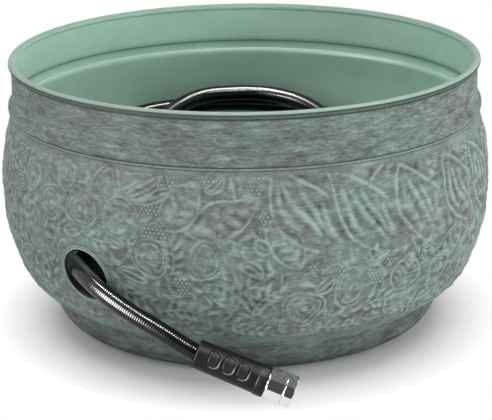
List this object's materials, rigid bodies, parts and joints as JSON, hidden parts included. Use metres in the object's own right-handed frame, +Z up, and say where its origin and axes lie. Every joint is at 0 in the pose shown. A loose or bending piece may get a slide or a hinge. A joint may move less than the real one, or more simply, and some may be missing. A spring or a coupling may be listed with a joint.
{
  "type": "garden hose pot",
  "caption": "Round patinated metal pot with a rolled rim, a plain foot and a side port; a rubber garden hose with a swivel coupling lies coiled inside and comes out of the port.",
  "frame": {"origin": "on the floor, at the middle of the pot's standing ring, on the pot's axis", "axes": "+Z up along the axis of the pot; -Y towards the side where the hose's coupling lies, which the picture was taken from; +X to the right in it"},
  "size_m": [0.48, 0.5211, 0.264],
  "materials": {
    "patinated_metal": "embossed sheet steel with a grey-green patina, brushed back to mauve-grey",
    "hose_rubber": "glossy black with fine ribs",
    "sleeve_rubber": "satin black",
    "coupling_chrome": "bright plated"
  },
  "bodies": {
    "pot": {"neck_band": "patinated_metal", "belly_shell": "patinated_metal", "base_pan": "patinated_metal", "port_eyelet": "patinated_metal", "hose_coil": "hose_rubber", "port_lead": "hose_rubber", "top_loops": "hose_rubber", "grip_sleeve": "sleeve_rubber", "coupling_tail": "coupling_chrome", "male_ferrule": "coupling_chrome", "male_coupling": "coupling_chrome"},
    "swivel": {"coupling_nut": "coupling_chrome", "hose_washer": "sleeve_rubber"}
  },
  "joints": [
    {"name": "nut_spin", "type": "hinge", "parent": "pot", "child": "swivel", "pos_m": [0.041, -0.266, 0.01487], "axis": [0.9212, -0.105, -0.3746], "continuous": true}
  ]
}
